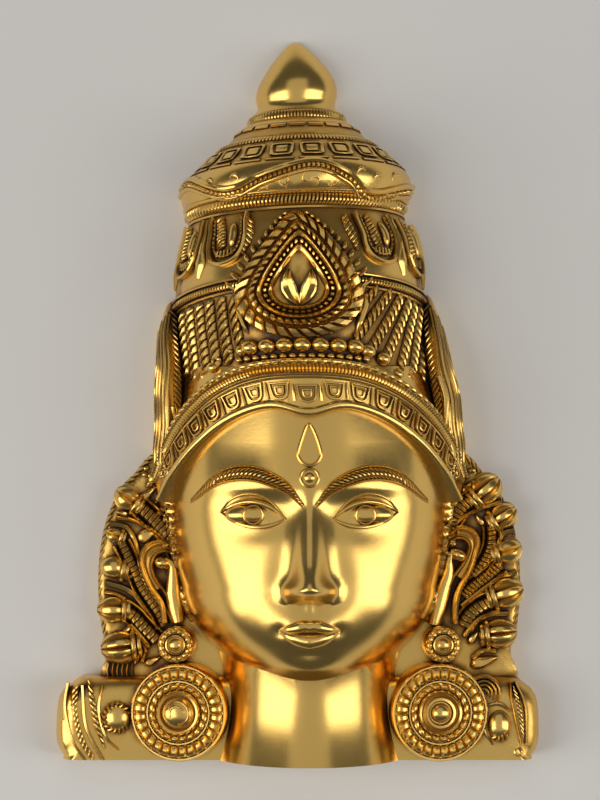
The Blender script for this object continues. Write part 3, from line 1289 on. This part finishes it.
def groundOf(points):
    x, y, z = points.T
    x = x - between(lean, y)
    y = y - roll(x, y)
    turn, ring = np.arctan2(x, z), y.copy()
    for _ in range(12):
        turn = np.arctan2(x, z / crownDepth(ring))
        ring = y - crownRise(ring) * np.cos(turn)
    skin = crownPoint(turn, ring)
    over = np.hypot(x, z) - np.hypot(skin[:, 0], skin[:, 2])
    crown = between(groundLook["crown"], ring) * ease((y - groundLook["headY"]) / 4)
    (wide, high), middle, deep = groundLook["gem"]
    gem = ease((1 - np.hypot(x / wide, (y - middle) / high)) / 0.15) * ease((deep - over) / 0.8)
    shares = [ease(1 - over / groundLook["rises"]) * crown, gem]
    shares += [region((abs(x), y, z), *groundLook[key]) for key in ("gully", "arm", "ear")]
    return np.clip(np.max(shares, axis=0), 0, 1)


spots = np.empty(len(mask.data.vertices) * 3)
mask.data.vertices.foreach_get("co", spots)
spots = spots.reshape(-1, 3) * 1000 + (0, (tip + foot) / 2, 0)
shares = mask.data.attributes.new("ground", "FLOAT", "POINT")
shares.data.foreach_set("value", groundOf(spots).astype(np.float32))
print("ground")

# Brass: polished where a hand or a wheel reaches, brown in the recesses
brassLook = {
    "reach": 0.0035,  # how near another surface must be to count as a recess, in metres
    # from 0, the deepest recess, to 1, the open surface
    "tones": [
        (0.12, (0.04, 0.015, 0.004)),
        (0.3, (0.22, 0.1, 0.02)),
        (0.46, (0.62, 0.36, 0.075)),
        (0.7, (0.9, 0.585, 0.165)),
    ],
    "matte": (0.46, 0.2),  # roughness in a recess and on a polished place
    "wave": (14, 0.0003),  # the hand-finished surface: waves in a metre, and their height
    "grain": (900, 0.000016),
    "cloud": (160.0, 0.22),  # patches of patina: how many in a metre, and how strong
    "ground": 0.52,  # how much darker bare ground is
    "pits": 4.0,  # and how much rougher its grain is
}


def addNode(tree, kind, inputs, **settings):
    made = tree.nodes.new("ShaderNode" + kind)
    for key, value in settings.items():
        setattr(made, key, value)
    for key, value in inputs.items():
        if isinstance(value, bpy.types.NodeSocket):
            tree.links.new(value, made.inputs[key])
        else:
            made.inputs[key].default_value = value
    return made


# A value times a number, and another added to it
def scaled(tree, value, times, plus):
    return addNode(tree, "Math", {0: value, 1: times, 2: plus}, operation="MULTIPLY_ADD").outputs[0]


def brassMaterial():
    look = brassLook
    material = bpy.data.materials.new("brass")
    material.use_nodes = True
    tree = material.node_tree
    shader = tree.nodes["Principled BSDF"]
    place = tree.nodes.new("ShaderNodeTexCoord").outputs["Object"]
    (waves, waveHigh), (grains, grainHigh) = look["wave"], look["grain"]
    wave = addNode(tree, "TexNoise", {"Vector": place, "Scale": waves, "Detail": 1.5})
    grain = addNode(tree, "TexNoise", {"Vector": place, "Scale": grains, "Detail": 3.0})
    spread, strong = look["cloud"]
    cloud = addNode(tree, "TexNoise", {"Vector": place, "Scale": spread, "Detail": 4.0, "Roughness": 0.6})
    near = addNode(tree, "AmbientOcclusion", {"Distance": look["reach"]}, samples=6, only_local=True)
    shade = scaled(tree, cloud.outputs["Fac"], strong, near.outputs["AO"])
    ground = addNode(tree, "Attribute", {}, attribute_name="ground").outputs["Fac"]
    low = scaled(tree, ground, -look["ground"], shade)
    polish = addNode(tree, "Math", {0: low, 1: strong / 2}, operation="SUBTRACT").outputs[0]
    ramp = addNode(tree, "ValToRGB", {"Fac": polish})
    stops = ramp.color_ramp.elements
    while len(stops) < len(look["tones"]):
        stops.new(0.5)
    for stop, (at, colour) in zip(stops, look["tones"]):
        stop.position = at
        stop.color = (*colour, 1)
    rough, smooth = look["matte"]
    matte = addNode(tree, "MapRange", {"Value": polish, 1: 0.3, 2: 0.75, 3: rough, 4: smooth})
    rub = scaled(tree, grain.outputs["Fac"], 0.08, matte.outputs[0])
    metal = addNode(tree, "MapRange", {"Value": polish, 1: 0.15, 2: 0.45, 3: 0.4, 4: 1.0}).outputs[0]
    soft = addNode(tree, "Bump", {"Height": wave.outputs["Fac"], "Distance": waveHigh, "Strength": 1.0})
    pitted = scaled(tree, ground, look["pits"], 1.0)
    pits = addNode(tree, "Math", {0: grain.outputs["Fac"], 1: pitted}, operation="MULTIPLY").outputs[0]
    grained = {"Height": pits, "Distance": grainHigh, "Strength": 1.0, "Normal": soft.outputs[0]}
    fine = addNode(tree, "Bump", grained).outputs[0]
    finish = {"Base Color": ramp.outputs["Color"], "Metallic": metal, "Roughness": rub, "Normal": fine}
    for name, socket in finish.items():
        tree.links.new(socket, shader.inputs[name])
    return material


brass = brassMaterial()
mask.data.materials.clear()
mask.data.materials.append(brass)
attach(mask, "root")
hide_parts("mask")

# Floor and light
floorLook = {"colour": (0.85, 0.84, 0.82), "rough": 0.8, "size": 6.0}
floorMesh = bpy.data.meshes.new("floor")
s = floorLook["size"]
floorMesh.from_pydata([(-s, -s, 0), (s, -s, 0), (s, s, 0), (-s, s, 0)], [], [(0, 1, 2, 3)])
floor = bpy.data.objects.new("floor", floorMesh)
scene.collection.objects.link(floor)
paint = bpy.data.materials.new("floor_paint")
paint.use_nodes = True
coat = paint.node_tree.nodes["Principled BSDF"].inputs
coat["Base Color"].default_value = (*floorLook["colour"], 1)
coat["Roughness"].default_value = floorLook["rough"]
floorMesh.materials.append(paint)

roomLook = {"colour": (0.9, 0.93, 1), "strength": 0.09}
world = bpy.data.worlds.new("room")
scene.world = world
world.use_nodes = True
glow = world.node_tree.nodes["Background"].inputs
glow["Color"].default_value = (*roomLook["colour"], 1)
glow["Strength"].default_value = roomLook["strength"]
scene.view_settings.view_transform = "Standard"


def softbox(name, place, size, power, colour):
    light = bpy.data.lights.new(name, "AREA")
    light.shape = "RECTANGLE"
    light.size, light.size_y = size
    light.energy = power
    light.color = colour
    lamp = bpy.data.objects.new(name, light)
    lamp.location = place
    lamp.rotation_euler = (-lamp.location).to_track_quat("-Z", "Y").to_euler()
    scene.collection.objects.link(lamp)


softbox("key", (-1.05, -0.25, 0.85), (0.8, 1.4), 9, (1, 0.96, 0.9))
softbox("fill", (1.05, -0.2, 0.8), (0.6, 1.3), 6.2, (1, 0.97, 0.92))
softbox("over", (0.0, 0.3, 1.9), (2.2, 3.0), 7.6, (1, 0.98, 0.95))
